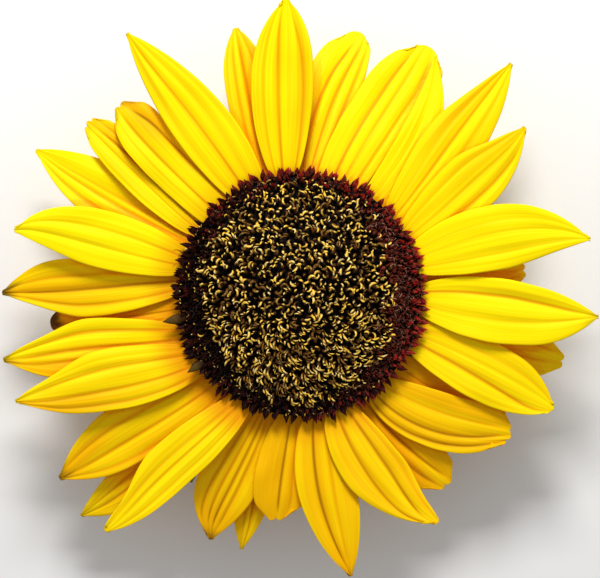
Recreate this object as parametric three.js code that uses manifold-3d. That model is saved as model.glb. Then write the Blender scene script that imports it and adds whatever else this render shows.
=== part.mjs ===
import * as THREE from 'three';
import { ConvexGeometry } from 'three/addons/geometries/ConvexGeometry.js';
import { mergeVertices } from 'three/addons/utils/BufferGeometryUtils.js';
import Module from 'manifold-3d';

// A cut sunflower head that lies face up on the cut face of its stalk.
// Millimetres, +Z up. The azimuth turns from +X to +Y, seen from above.

const wasm = await Module();
wasm.setup();

// The floret disc
const DISC_RADIUS = 33.4;
const DISC_FLAT_RADIUS = 30;
const DISC_RIM_RISE = 0.45;
const DISC_RIM_EDGE = 1.2;
const DISC_CROWN = 6.4;
const DISC_CROWN_POWER = 2.2;
const DISC_SIDES = 40;
const FLORET_COUNT = 360;
const FLORET_FIELD_RADIUS = 32.4;
const FLORET_DEPTH = 1.0;
const FLORET_FACE_UP = 0.5;
const GOLDEN_ANGLE = Math.PI * (3 - Math.sqrt(5));

// The crown of star-shaped buds round the disc's rim, and the two chaff tips that stand out past it
const BUD_ROWS = [
  { count: 52, radius: 33.2, height: 1.7, rise: 0.14, length: 4.4, girth: 2.7, turn: 0 },
  { count: 46, radius: 31.4, height: 2.6, rise: 0.75, length: 3.8, girth: 2.5, turn: 0.5 },
];
const BUD_SIDES = 3;
const CHAFF_AZIMUTHS = [191.1, 214.6];
const CHAFF = { radius: 33.6, height: 1.5, rise: 0.05, length: 6.6, girth: 3.4 };

// The blades: ray petals and bracts all lie on one family of surfaces, a layer for each number
const ROOT_RADIUS = 27.5;
const ROOT_HEIGHT = 24;
const LAYER_STEP = 1.0;
const LAYER_SPREAD = 0.06;
const LEVEL_LAYER = 2.5;
const BLADE_SLOPE = 0.1;
const BLADE_ARCH = 0.0024;
const FREE_RADIUS = 32;
const TOP_LAYER = 5;
const GAP = 0.3;

const PETAL_THICKNESS = 0.65;
const PETAL_STATIONS = [0.13, 0.29, 0.46, 0.63, 0.78, 0.9, 1];
const PETAL_CELLS = 4;
const PETAL_TIP_WIDTH = 1.1;
const ROOT_TAPER = 1.5;
const FLARE_POWER = 0.75;
const SWELL_POWER = 0.6;
const HOOK_POWER = 8;
const GROOVE_DEPTH = 0.32;
const RIDGE_HEIGHT = 0.22;
const CURL_START = 0.5;
const END_START = 0.75;
const END_ROUNDING = 0.3;
const END_ROUNDNESS = 2.6;
const END_POWER = 12;
const PINCH_START = 0.5;
const PINCH_FULL = 0.85;

// How a blade closes to its tip: share = (1 - x ** first) ** second, and the share that its end edge keeps
const POINTED = [1.8, 0.85, 0.05];
const ROUND = [2.1, 0.72, 0.14];
const BLUNT = [3, 0.56, 0.5];
const ACUMINATE = [1.05, 1.3, 0.02];

// Azimuths at the disc's rim, halfway out and at the tip, reach, width, layer, where it is widest,
// form of the tip, rise of the margins, curl of the tip, and the share of its width at the rim.
// Where a petal has them: how far the left side reaches past the right side, how many degrees the
// very tip hooks to the left, and how much each side narrows near the tip
const PETALS = [
  [97.2, 94.9, 92.7, 79.1, 16.8, 4, 0.55, ROUND, 0.25, 0.8, 0.45],
  [106.0, 104.0, 103.6, 74.2, 12.8, 2, 0.5, ROUND, 0.3, -0.6, 0.5, { left: -0.12 }],
  [117.0, 120.7, 123.4, 83.7, 16.1, 4, 0.36, POINTED, -0.2, 1.5, 0.6],
  [135.5, 135.0, 133.7, 70.9, 12.4, 3, 0.6, BLUNT, -0.2, -1.6, 0.74, { right: -0.25 }],
  [146.3, 142.4, 140.9, 74.3, 11.8, 2, 0.5, BLUNT, 0.2, -1.4, 0.5],
  [153.2, 152.4, 151.2, 81.9, 17.2, 1, 0.45, POINTED, 0.3, -0.8, 0.5],
  [164.2, 164.2, 165.0, 78.3, 15.4, 4, 0.5, ROUND, -0.2, 0.6, 0.5, { hook: 2, left: 0.08 }],
  [173.3, 178.0, 178.4, 80.6, 16.0, 2, 0.5, POINTED, 0.3, -1.0, 0.5, { hook: 1.2, left: 0.2, right: -0.36 }],
  [186.0, 186.5, 186.5, 68.2, 13.5, 1, 0.5, BLUNT, 0.2, -1.8, 0.5],
  [200.5, 194.2, 192.3, 81.5, 15.8, 3, 0.5, POINTED, 0.3, 0.9, 0.5, { left: -0.28, right: 0.3 }],
  [211.5, 203.8, 200.4, 81.0, 17.2, 4, 0.45, POINTED, -0.2, 1.4, 0.5, { left: -0.16, right: 0.34 }],
  [224.5, 219.0, 217.4, 81.8, 17.0, 2, 0.5, POINTED, 0.25, -0.4, 0.5, { left: -0.22 }],
  [231.0, 229.0, 225.2, 84.7, 12.4, 1, 0.6, POINTED, 0.2, -1.2, 0.5, { left: -0.35 }],
  [240.5, 232.9, 231.6, 81.7, 13.5, 4, 0.45, ROUND, -0.2, 1.0, 0.5, { hook: -1.2, left: -0.08, right: 0.45 }],
  [252.5, 249.3, 248.0, 70.6, 16.4, 1, 0.55, POINTED, 0.3, -0.9, 0.5, { hook: 2, left: -0.08, right: -0.08 }],
  [256.0, 256.4, 257.0, 71.2, 12.2, 0, 0.4, POINTED, 0.1, -1.5, 0.5],
  [265.5, 264.0, 263.8, 61.4, 14.0, 2, 0.6, BLUNT, -0.2, -1.2, 0.5, { lean: -0.5, left: -0.18 }],
  [278.5, 278.2, 280.3, 76.7, 16.4, 3, 0.4, POINTED, 0.3, 0.5, 0.5, { left: -0.1 }],
  [289.0, 293.2, 300.2, 71.0, 16.9, 4, 0.5, ROUND, -0.2, 1.2, 0.5, { hook: 0.9, left: 0.2, right: 0.1 }],
  [300.5, 304.0, 307.4, 65.6, 15.2, 1, 0.6, BLUNT, 0.2, -1.5, 0.5],
  [310.5, 318.0, 327.0, 68.6, 16.7, 2, 0.5, BLUNT, 0.3, -0.5, 0.5, { lean: -1, hook: -1 }],
  [340.0, 337.6, 335.8, 74.6, 16.4, 3, 0.5, ROUND, 0.25, 0.6, 0.55, { left: -0.12 }],
  [347.5, 346.0, 345.8, 74.0, 13.6, 1, 0.5, BLUNT, 0.2, -1.3, 0.5],
  [357.8, 355.3, 355.8, 79.9, 17.5, 4, 0.45, POINTED, 0.3, 1.0, 0.5, { left: -0.08, right: -0.2 }],
  [6.5, 6.2, 6.2, 61.7, 13.0, 1, 0.5, BLUNT, 0.2, -1.5, 0.5],
  [17.2, 16.4, 11.9, 78.5, 17.6, 5, 0.48, POINTED, -0.3, 0.8, 0.5, { hook: -1, left: -0.1, right: 0.05 }],
  [28.2, 33.0, 35.8, 75.0, 16.4, 4, 0.5, POINTED, 0.25, 0.4, 0.5, { hook: 0.9, left: 0.2, right: -0.08 }],
  [39.0, 44.7, 47.0, 84.2, 16.4, 3, 0.45, POINTED, 0.2, 0.9, 0.5, { hook: 0.6, left: 0.2, right: -0.02 }],
  [70.5, 66.0, 62.5, 75.9, 17.2, 1, 0.5, BLUNT, -0.2, -0.4, 0.75, { left: -0.12, right: -0.2 }],
  [86.0, 81.4, 77.6, 73.5, 14.8, 0, 0.55, BLUNT, 0.3, -0.9, 0.5, { left: -0.22, right: 0.06 }],
  [52.0, 53.2, 60.4, 74.2, 10.4, 2, 0.45, POINTED, 0.1, -2.6, 0.7],
  [324.0, 325.0, 326.0, 60.5, 12.4, 0, 0.5, ROUND, 0.1, -1.0, 0.6],
];

// The bracts, in three ranks behind the petals
const BRACT_THICKNESS = 0.8;
const BRACT_ROOT_RADIUS = 26;
const BRACT_STATIONS = [0.22, 0.6, 1];
const BRACT_CELLS = 2;
const BRACT_RIM_SHARE = 0.9;
const BRACT_WIDEST = 0.16;
const BRACT_TIP_WIDTH = 0.8;
const BRACT_KEEL = 0.35;
const BRACTS_IN_RANK = 13;
const BRACT_RANKS = [
  { azimuth: 73.3, reach: 60.5, width: 13.5, layer: -1.4, curl: -1.5 },
  { azimuth: 83.4, reach: 53.5, width: 14.0, layer: -2.9, curl: -3.0 },
  { azimuth: 62.0, reach: 47.0, width: 12.5, layer: -4.4, curl: -4.5 },
];
const REACH_SWAY = 2.0;
const REACH_SWAY_TURN = 2.4;

// The receptacle, a green cup with a boss that the petals' roots meet, and the stub of the stalk
const BOSS_RADIUS = 27.2;
const CUP_RADIUS = 32.6;
const CUP_UNDERSIDE = [[14, 12.2], [22, 15.4], [28.6, 18.6], [CUP_RADIUS, 21.4]];
const CUP_SIDES = 30;
const STALK_RADIUS = 8.6;
const STALK_WAIST_RADIUS = 7.9;
const STALK_NECK_RADIUS = 9.6;
const STALK_LENGTH = 10;
const STALK_SUNK = 0.8;
const STALK_SIDES = 10;

const deg = THREE.MathUtils.degToRad;

// Height of a layer's surface at a distance from the axis
function layerHeight(radius, layer) {
  const free = Math.max(0, radius - FREE_RADIUS);
  const slope = BLADE_SLOPE + (layer - LEVEL_LAYER) * LAYER_SPREAD;
  return ROOT_HEIGHT + layer * LAYER_STEP + free * slope - BLADE_ARCH * free * free;
}

// Azimuth of a blade's midline, a curve through its three given azimuths
function midline(s, rim, middle, tip) {
  const t = Math.max(0, s);
  return rim * (1 - t) * (1 - 2 * t) + middle * 4 * t * (1 - t) + tip * t * (2 * t - 1);
}

// Share of its full width that a blade has at s, from 0 at the disc's rim to 1 at its tip
function widthShare(s, rimShare, widest, [first, second, end]) {
  if (s < 0) return rimShare * (1 + ROOT_TAPER * s);
  if (s < widest) return rimShare + (1 - rimShare) * Math.sin((Math.PI / 2) * (s / widest)) ** FLARE_POWER;
  const closing = (1 - ((s - widest) / (1 - widest)) ** first) ** second;
  return Math.hypot(closing, end * THREE.MathUtils.smoothstep(s, END_START, 1));
}

// A closed sheet over a grid of points, of one thickness measured straight down. Its two halves are
// split into triangles as mirror images.
function sheet(rows, columns, pointAt, thickness) {
  const wide = columns + 1;
  const layerSize = (rows + 1) * wide;
  const positions = [];
  for (const drop of [0, thickness]) {
    for (let i = 0; i <= rows; i++) {
      for (let j = 0; j <= columns; j++) {
        const [x, y, z] = pointAt(i, j);
        positions.push(x, y, z - drop);
      }
    }
  }
  const index = [];
  const wall = (a, b) => index.push(a, a + layerSize, b, b, a + layerSize, b + layerSize);
  for (let i = 0; i < rows; i++) {
    for (let j = 0; j < columns; j++) {
      const a = i * wide + j;
      const [b, c, d] = [a + wide, a + wide + 1, a + 1];
      const triangles = j < columns / 2 ? [[a, b, d], [b, c, d]] : [[a, b, c], [a, c, d]];
      for (const [k, l, m] of triangles) {
        index.push(k, l, m, k + layerSize, m + layerSize, l + layerSize);
      }
    }
  }
  for (let i = 0; i < rows; i++) {
    wall(i * wide, (i + 1) * wide);
    wall((i + 1) * wide + columns, i * wide + columns);
  }
  for (let j = 0; j < columns; j++) {
    wall(j + 1, j);
    wall(rows * wide + j, rows * wide + j + 1);
  }
  const geometry = new THREE.BufferGeometry();
  geometry.setAttribute('position', new THREE.Float32BufferAttribute(positions, 3));
  geometry.setIndex(index);
  return geometry;
}

// Cross-section of a petal: a ridge between two grooves, and margins that rise or fall
function petalRelief(u, s, margins) {
  const swell = Math.sin(Math.PI * THREE.MathUtils.clamp(s, 0, 1)) ** SWELL_POWER;
  const ribs = RIDGE_HEIGHT - (RIDGE_HEIGHT + GROOVE_DEPTH) * Math.sin(Math.PI * Math.min(1, Math.abs(u)));
  return swell * (ribs + (margins - RIDGE_HEIGHT) * u * u);
}

// How far short of a petal's reach its end edge lies at u across it, by the rounding of its corners
function endDrop(u, width, [, , end]) {
  return end * width * END_ROUNDING * Math.abs(u) ** END_ROUNDNESS;
}

function petal([rim, middle, tip, reach, width, layer, widest, end, margins, curl, rimShare, traits = {}]) {
  const { lean = 0, hook = 0, left = 0, right = 0 } = traits;
  const rootShare = (ROOT_RADIUS - DISC_RADIUS) / (reach - DISC_RADIUS);
  const stations = [rootShare, 0, ...PETAL_STATIONS];
  const pointAt = (i, j) => {
    const s = stations[i];
    const u = (2 * j) / PETAL_CELLS - 1;
    const out = Math.max(0, s);
    const radius = DISC_RADIUS + s * (reach - DISC_RADIUS) + lean * u * out ** 3 -
      endDrop(u, width, end) * out ** END_POWER;
    const pinch = (u > 0 ? left : right) * THREE.MathUtils.smoothstep(s, PINCH_START, PINCH_FULL) * Math.abs(u);
    const across = Math.max(PETAL_TIP_WIDTH, width * widthShare(s, rimShare, widest, end) * (1 - pinch));
    const azimuth = deg(midline(s, rim, middle, tip) + hook * out ** HOOK_POWER) + (u * across) / 2 / radius;
    const bend = curl * Math.max(0, (s - CURL_START) / (1 - CURL_START)) ** 2;
    const z = layerHeight(radius, layer) + petalRelief(u, s, margins) + bend + PETAL_THICKNESS / 2;
    return [radius * Math.cos(azimuth), radius * Math.sin(azimuth), z];
  };
  return sheet(stations.length - 1, PETAL_CELLS, pointAt, PETAL_THICKNESS);
}

function bract({ azimuth, reach, width, layer, curl }) {
  const rootShare = (BRACT_ROOT_RADIUS - DISC_RADIUS) / (reach - DISC_RADIUS);
  const stations = [rootShare, 0, ...BRACT_STATIONS];
  const pointAt = (i, j) => {
    const s = stations[i];
    const u = (2 * j) / BRACT_CELLS - 1;
    const radius = DISC_RADIUS + s * (reach - DISC_RADIUS);
    const share = widthShare(s, BRACT_RIM_SHARE, BRACT_WIDEST, ACUMINATE);
    const turn = (u * Math.max(BRACT_TIP_WIDTH, width * share)) / 2 / radius;
    const z = layerHeight(radius, layer) - BRACT_KEEL * (1 - Math.abs(u)) * Math.max(0, 1 - s) +
      curl * Math.max(0, s) ** 2;
    return [radius * Math.cos(deg(azimuth) + turn), radius * Math.sin(deg(azimuth) + turn), z];
  };
  return sheet(stations.length - 1, BRACT_CELLS, pointAt, BRACT_THICKNESS);
}

function toManifold(geometry) {
  const bare = geometry.clone();
  bare.deleteAttribute('normal');
  bare.deleteAttribute('uv');
  const merged = mergeVertices(bare, 1e-4);
  return new wasm.Manifold(new wasm.Mesh({
    numProp: 3,
    vertProperties: new Float32Array(merged.attributes.position.array),
    triVerts: new Uint32Array(merged.index.array),
  }));
}

function toGeometry(manifold) {
  const mesh = manifold.getMesh();
  const geometry = new THREE.BufferGeometry();
  geometry.setAttribute('position', new THREE.BufferAttribute(new Float32Array(mesh.vertProperties), 3));
  geometry.setIndex(new THREE.BufferAttribute(new Uint32Array(mesh.triVerts), 1));
  return geometry;
}

// One body from several. A pocket that the pieces close between them is filled.
function fuse(geometries) {
  const whole = geometries.map(toManifold).reduce((body, next) => body.add(next));
  return toGeometry(whole.decompose().reduce((largest, shell) => (
    shell.volume() > largest.volume() ? shell : largest)));
}

// A body turned about the axis, from radius and height pairs
function turned(profile, sides) {
  const geometry = new THREE.LatheGeometry(profile.map(([r, z]) => new THREE.Vector2(r, z)), sides);
  return geometry.rotateX(Math.PI / 2);
}

const DISC_BASE = ROOT_HEIGHT + TOP_LAYER * LAYER_STEP + PETAL_THICKNESS / 2 + GAP;
const DISC_EDGE = DISC_BASE + DISC_RIM_RISE;

function crownHeight(radius) {
  return DISC_EDGE + DISC_RIM_EDGE + DISC_CROWN * (1 - (radius / DISC_RADIUS) ** DISC_CROWN_POWER);
}

// A low dome whose hull has a corner at each floret, with every face between florets pressed in
function floretDome() {
  const points = [];
  const ring = (radius, z, turn) => {
    for (let k = 0; k < DISC_SIDES; k++) {
      const a = (2 * Math.PI * (k + turn)) / DISC_SIDES;
      points.push(new THREE.Vector3(radius * Math.cos(a), radius * Math.sin(a), z));
    }
  };
  ring(DISC_FLAT_RADIUS, DISC_BASE, 0);
  ring(DISC_RADIUS, DISC_EDGE, 0);
  ring(DISC_RADIUS, DISC_EDGE + DISC_RIM_EDGE, 0);
  for (let k = 0; k < FLORET_COUNT; k++) {
    const radius = FLORET_FIELD_RADIUS * Math.sqrt((k + 0.5) / FLORET_COUNT);
    const a = k * GOLDEN_ANGLE;
    points.push(new THREE.Vector3(radius * Math.cos(a), radius * Math.sin(a), crownHeight(radius)));
  }
  const hull = new ConvexGeometry(points).getAttribute('position');
  const triangles = [];
  const side = new THREE.Triangle();
  const normal = new THREE.Vector3();
  for (let k = 0; k < hull.count; k += 3) {
    side.setFromAttributeAndIndices(hull, k, k + 1, k + 2);
    side.getNormal(normal);
    const [a, b, c] = [side.a.clone(), side.b.clone(), side.c.clone()];
    if (normal.z > FLORET_FACE_UP) {
      const pit = side.getMidpoint(new THREE.Vector3()).addScaledVector(normal, -FLORET_DEPTH);
      triangles.push(a, b, pit, b, c, pit, c, a, pit);
    } else {
      triangles.push(a, b, c);
    }
  }
  return new THREE.BufferGeometry().setFromPoints(triangles);
}

// A pointed bud at the rim that leans outward and up
function bud({ radius, height, rise, length, girth }, azimuth) {
  const cone = new THREE.ConeGeometry(girth / 2, length, BUD_SIDES);
  cone.rotateZ(-Math.PI / 2);
  cone.rotateY(-rise);
  cone.translate(radius, 0, DISC_EDGE + height);
  return cone.rotateZ(azimuth);
}

function floretDisc() {
  const buds = BUD_ROWS.flatMap((row) =>
    Array.from({ length: row.count }, (_, k) => bud(row, (2 * Math.PI * (k + row.turn)) / row.count)));
  const chaff = CHAFF_AZIMUTHS.map((azimuth) => bud(CHAFF, deg(azimuth)));
  return fuse([floretDome(), ...buds, ...chaff]);
}

function receptacle() {
  const bossTop = DISC_BASE - GAP;
  const seat = ROOT_HEIGHT - PETAL_THICKNESS / 2 - GAP;
  const cup = turned([
    [0, STALK_LENGTH - STALK_SUNK], [STALK_RADIUS, STALK_LENGTH - STALK_SUNK], ...CUP_UNDERSIDE,
    [CUP_RADIUS, seat], [BOSS_RADIUS, seat], [BOSS_RADIUS, bossTop], [0, bossTop],
  ], CUP_SIDES);
  const stalk = turned([
    [0, 0], [STALK_RADIUS, 0], [STALK_WAIST_RADIUS, STALK_LENGTH / 2],
    [STALK_NECK_RADIUS, STALK_LENGTH + STALK_SUNK], [0, STALK_LENGTH + STALK_SUNK],
  ], STALK_SIDES);
  const bracts = BRACT_RANKS.flatMap((rank) => Array.from({ length: BRACTS_IN_RANK }, (_, k) => bract({
    ...rank,
    azimuth: rank.azimuth + (360 * k) / BRACTS_IN_RANK,
    reach: rank.reach - REACH_SWAY * (1 - Math.cos(REACH_SWAY_TURN * k)) / 2,
  })));
  return fuse([cup, stalk, ...bracts]);
}

function part(name, geometry, color, roughness) {
  geometry.computeVertexNormals();
  const mesh = new THREE.Mesh(geometry, new THREE.MeshStandardMaterial({ color, roughness, metalness: 0 }));
  mesh.name = name;
  return mesh;
}

const head = new THREE.Group();
head.add(part('receptacle_and_bracts', receptacle(), 0x5f7f2c, 0.75));
head.add(part('floret_disc', floretDisc(), 0x2a1512, 0.8));
PETALS.forEach((row, k) => {
  head.add(part(`ray_petal_${String(k + 1).padStart(2, '0')}`, petal(row), 0xf7cf06, 0.5));
});

// The origin goes under the middle of the head's box
const box = new THREE.Box3().setFromObject(head, true);
const middle = box.getCenter(new THREE.Vector3());
head.position.set(-middle.x, -middle.y, -box.min.z);

export default head;
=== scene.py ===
"""Dresses a cut sunflower head: ray petals, florets, bracts and stalk stub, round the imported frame.

The head lies face up. Pieces are shaped in the head's own millimetres, with its axis on Z, and then
set down in the part's frame in metres. Azimuths turn from +X to +Y, seen from above, in degrees.
"""

from __future__ import annotations

import logging
import math
import random
from dataclasses import dataclass, field, replace
from enum import Enum
from functools import cached_property

import bmesh
import bpy
from mathutils import Matrix, Vector, noise
from mathutils.bvhtree import BVHTree

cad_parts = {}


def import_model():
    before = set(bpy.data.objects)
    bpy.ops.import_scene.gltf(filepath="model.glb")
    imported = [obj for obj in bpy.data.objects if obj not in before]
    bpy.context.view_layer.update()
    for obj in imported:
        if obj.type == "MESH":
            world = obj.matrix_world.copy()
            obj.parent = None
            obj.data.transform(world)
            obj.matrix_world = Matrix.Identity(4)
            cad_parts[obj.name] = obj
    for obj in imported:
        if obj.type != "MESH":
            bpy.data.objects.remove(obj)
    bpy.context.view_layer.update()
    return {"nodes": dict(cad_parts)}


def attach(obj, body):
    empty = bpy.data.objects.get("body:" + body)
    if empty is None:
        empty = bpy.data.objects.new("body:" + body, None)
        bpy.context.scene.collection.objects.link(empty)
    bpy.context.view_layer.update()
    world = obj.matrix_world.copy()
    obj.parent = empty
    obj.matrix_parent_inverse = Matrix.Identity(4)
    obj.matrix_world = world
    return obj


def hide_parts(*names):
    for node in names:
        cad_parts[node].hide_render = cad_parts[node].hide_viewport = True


LOG = logging.getLogger("sunflower")
MM = 0.001
GOLDEN_ANGLE = math.pi * (3 - math.sqrt(5))

GREEN_NODE = "receptacle_and_bracts"
GREEN_SLOT = "green_tissue"
DISC_NODE = "floret_disc"
DISC_SLOT = "florets"
PETAL_SLOT = "ray_petal"

Colour = tuple[float, float, float, float]
Pair = tuple[float, float]
Span = Pair  # from where to where something rises, or falls where the first is larger
Triple = tuple[float, float, float]
Girths = tuple[float, ...]
Outline = tuple[Pair, ...]
Shapes = dict[str, bmesh.types.BMesh]


def clamp(value: float, low: float = 0.0, high: float = 1.0) -> float:
    """Returns the value, held between low and high."""
    return max(low, min(high, value))


def smoothstep(low: float, high: float, value: float) -> float:
    """Returns a smooth rise from 0 at low to 1 at high, or a fall where high is below low."""
    t = clamp((value - low) / (high - low))
    return t * t * (3 - 2 * t)


def polar(radius: float, azimuth: float, height: float) -> Vector:
    """Returns the point at a radius, an azimuth in radians and a height."""
    return Vector((radius * math.cos(azimuth), radius * math.sin(azimuth), height))


class Socket:
    """A value in a node tree. Its operators add Math nodes, so that shader maths reads as Python."""

    def __init__(self, shader: Shader, output: bpy.types.NodeSocket) -> None:
        """Wraps an output of a node of the shader."""
        self.shader = shader
        self.output = output

    def math(self, operation: str, first: Socket | float, second: Socket | float = 0.0) -> Socket:
        """Returns the outcome of one Math node.

        Args:
            operation: the Math node's operation.
            first: its first value or link.
            second: its second value or link.

        Returns:
            The node's output.
        """
        return self.shader.node("ShaderNodeMath", {"operation": operation}, {0: first, 1: second})

    def __add__(self, other: Socket | float) -> Socket:
        """Returns self + other."""
        return self.math("ADD", self, other)

    def __sub__(self, other: Socket | float) -> Socket:
        """Returns self - other."""
        return self.math("SUBTRACT", self, other)

    def __rsub__(self, other: float) -> Socket:
        """Returns other - self."""
        return self.math("SUBTRACT", other, self)

    def __mul__(self, other: Socket | float) -> Socket:
        """Returns self * other."""
        return self.math("MULTIPLY", self, other)

    def __pow__(self, other: float) -> Socket:
        """Returns self to the power of other."""
        return self.math("POWER", self, other)

    __radd__ = __add__
    __rmul__ = __mul__

    def rise(self, low: float, high: float) -> Socket:
        """Maps the value to a smooth rise from 0 to 1, or to a fall where low is above high.

        Args:
            low: where the result is 0.
            high: where it is 1.

        Returns:
            The mapped value.
        """
        start, end = (0.0, 1.0) if low < high else (1.0, 0.0)
        limits = {"From Min": min(low, high), "From Max": max(low, high), "To Min": start, "To Max": end}
        return self.shader.node(
            "ShaderNodeMapRange", {"interpolation_type": "SMOOTHSTEP"}, {"Value": self, **limits}
        )


class Shader:
    """A material of one Principled surface, whose other nodes all come from one method."""

    def __init__(self, name: str, **constants: object) -> None:
        """Makes the material.

        Args:
            name: its name.
            constants: inputs of the surface that are the same all over.
        """
        self.material = bpy.data.materials.new(name)
        self.material.use_nodes = True
        self.tree = self.material.node_tree
        self.surface = self.tree.nodes["Principled BSDF"]
        for key, value in constants.items():
            self.surface.inputs[key.replace("_", " ")].default_value = value

    def node(self, kind: str, settings: dict, sockets: dict, output: int | str = 0) -> Socket:
        """Adds a node.

        Args:
            kind: the node's type.
            settings: its settings, such as a Math node's operation, set first.
            sockets: the values or links of its inputs, by name or index.
            output: the output to return, by name or index.

        Returns:
            That output.
        """
        made = self.tree.nodes.new(kind)
        for key, value in settings.items():
            setattr(made, key, value)
        for key, value in sockets.items():
            if isinstance(value, Socket):
                self.tree.links.new(value.output, made.inputs[key])
            else:
                made.inputs[key].default_value = value
        return Socket(self, made.outputs[output])

    def attribute(self, name: str) -> Socket:
        """Returns the value of a piece's own attribute."""
        return self.node("ShaderNodeAttribute", {"attribute_name": name}, {}, "Fac")

    def place(self) -> Socket:
        """Returns the Object coordinates."""
        return self.node("ShaderNodeTexCoord", {}, {}, "Object")

    def parts(self, vector: Socket, count: int = 3) -> list[Socket]:
        """Returns the first coordinates of a vector, one by one."""
        return [self.node("ShaderNodeSeparateXYZ", {}, {0: vector}, k) for k in range(count)]

    def across_and_along(self) -> list[Socket]:
        """Returns the two coordinates of the piece's own UV map."""
        return self.parts(self.node("ShaderNodeTexCoord", {}, {}, "UV"), 2)

    def streaked(self, across: Socket, along: Socket) -> Socket:
        """Returns coordinates of two stretched parts, which draw noise out into streaks."""
        return self.node("ShaderNodeCombineXYZ", {}, {0: across, 1: along, 2: 0.0}, 0)

    def grain(self, scale: float, detail: float, where: Socket | None = None,
              layer: Socket | float = 0.0) -> Socket:
        """Returns four-dimensional noise.

        Args:
            scale: cells to a unit of the coordinates.
            detail: octaves.
            where: the coordinates, or None for Object coordinates.
            layer: the fourth coordinate.

        Returns:
            The noise, from 0 to 1.
        """
        sockets = {"Vector": where or self.place(), "Scale": scale, "Detail": detail, "W": layer}
        return self.node("ShaderNodeTexNoise", {"noise_dimensions": "4D"}, sockets, 0)

    def mix(self, share: Socket | float, first: Socket | Colour, second: Socket | Colour) -> Socket:
        """Returns the first colour with a share of the second over it."""
        return self.node("ShaderNodeMix", {"data_type": "RGBA"}, {0: share, 6: first, 7: second}, 2)

    def dress(self, colour: Socket, roughness: Socket, height: Socket,
              relief: float) -> bpy.types.Material:
        """Links the surface.

        Args:
            colour: the base colour.
            roughness: the roughness.
            height: the height of the fine relief.
            relief: how deep the relief is, in metres.

        Returns:
            The material.
        """
        bump = self.node("ShaderNodeBump", {}, {"Height": height, "Distance": relief, "Strength": 1.0}, 0)
        for key, value in {"Base Color": colour, "Roughness": roughness, "Normal": bump}.items():
            self.tree.links.new(value.output, self.surface.inputs[key])
        return self.material


@dataclass(frozen=True)
class PetalFinish:
    """Satin yellow, with painted shade: golden in the grooves, and warmer amber at the root and wherever
    petals crowd.
    """

    lit: Colour = (1.0, 0.79, 0.0, 1)
    gold: Colour = (0.90, 0.46, 0.0, 1)
    # Amber of the painted shade where other pieces hide the sky, at the roots and in the folds
    shade_amber: Colour = (0.80, 0.26, 0.0, 1)
    # Dark of the painted shadow in the creases
    crease_shadow: Colour = (0.36, 0.17, 0.0, 1)
    brown: Colour = (0.10, 0.028, 0.004, 1)
    gloss: Colour = (1.0, 0.85, 0.3, 1)
    streaks: float = 26.0
    streak_length: float = 1.6
    patch_scale: float = 0.22
    golden: Span = (0.0, 1.1)
    golden_folds: float = 0.85
    golden_patches: float = 0.8
    shaded: Span = (0.08, 0.85)
    shaded_folds: float = 0.34
    crease_shadowed: Span = (0.1, 1.0)
    browned: Span = (0.05, 0.9)
    relief: float = 0.00012

    def material(self) -> bpy.types.Material:
        """Makes the material of all the ray petals.

        Returns:
            The finished material.
        """
        shader = Shader("ray petal", Specular_IOR_Level=0.2, Specular_Tint=self.gloss)
        across, along = shader.across_and_along()
        seed, fold, tone_and_shade = (shader.attribute(name) for name in ("seed", "fold", "tone_and_shade"))
        chart = shader.streaked(across * self.streaks, along * self.streak_length)
        streak = shader.grain(1.0, 3.0, chart, seed)
        broad = shader.grain(self.patch_scale, 1.0, chart, seed)
        # Gold: the petal's own streaks and tone, with painted shade from the folds, the shade patches and the
        # petals away from the light
        golden = fold * self.golden_folds + (streak - 0.48) + (broad - 0.5) * self.golden_patches + tone_and_shade
        colour = shader.mix(golden.rise(*self.golden), self.lit, self.gold)
        # Painted shade in amber: where other pieces hide the sky, at the roots and along the folds
        shade = shader.attribute("shade") + fold * self.shaded_folds
        colour = shader.mix(shade.rise(*self.shaded), colour, self.shade_amber)
        # Painted shadow darkens the creases, strongest on the petals away from the light
        crease_shadows = fold * (0.2 + tone_and_shade * 0.75)
        colour = shader.mix(crease_shadows.rise(*self.crease_shadowed), colour, self.crease_shadow)
        # Brown tips: dried tips, and on some petals painted shade
        brown_tip_and_shade = shader.attribute("brown_tip_and_shade") * (0.65 + streak * 0.7)
        colour = shader.mix(brown_tip_and_shade.rise(*self.browned), colour, self.brown)
        return shader.dress(colour, 0.42 + streak * 0.2, streak + broad * 0.5, self.relief)


@dataclass(frozen=True)
class FloretFinish:
    """One kind of floret: dark at the root, at the tip a colour between two by its own tint, and glints."""

    name: str
    root: Colour
    dull: Colour
    vivid: Colour
    reach: float = 0.9
    glints: float = 0.0
    glint: Colour = (0.13, 0.085, 0.07, 1)
    mottle: float = 0.7
    grain: float = 2600.0
    glint_grain: float = 1500.0
    glinting: Span = (0.52, 0.64)
    relief: float = 0.00008

    def material(self) -> bpy.types.Material:
        """Makes the material of this kind of floret.

        Returns:
            The finished material.
        """
        shader = Shader(self.name.replace("_", " "), Specular_IOR_Level=0.07)
        fine = shader.grain(self.grain, 2.0)
        tint = shader.attribute("tint") + (fine - 0.5) * self.mottle
        tip = shader.mix(tint.rise(0.0, 1.0), self.dull, self.vivid)
        along = shader.attribute("along") + (fine - 0.5) * 0.4
        colour = shader.mix(along.rise(0.15, self.reach), self.root, tip)
        if self.glints:
            spark = shader.grain(self.glint_grain, 1.0).rise(*self.glinting)
            colour = shader.mix(spark * self.glints * tint.rise(0.0, 0.6), colour, self.glint)
        return shader.dress(colour, 0.5 + fine * 0.2, fine, self.relief)


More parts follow.
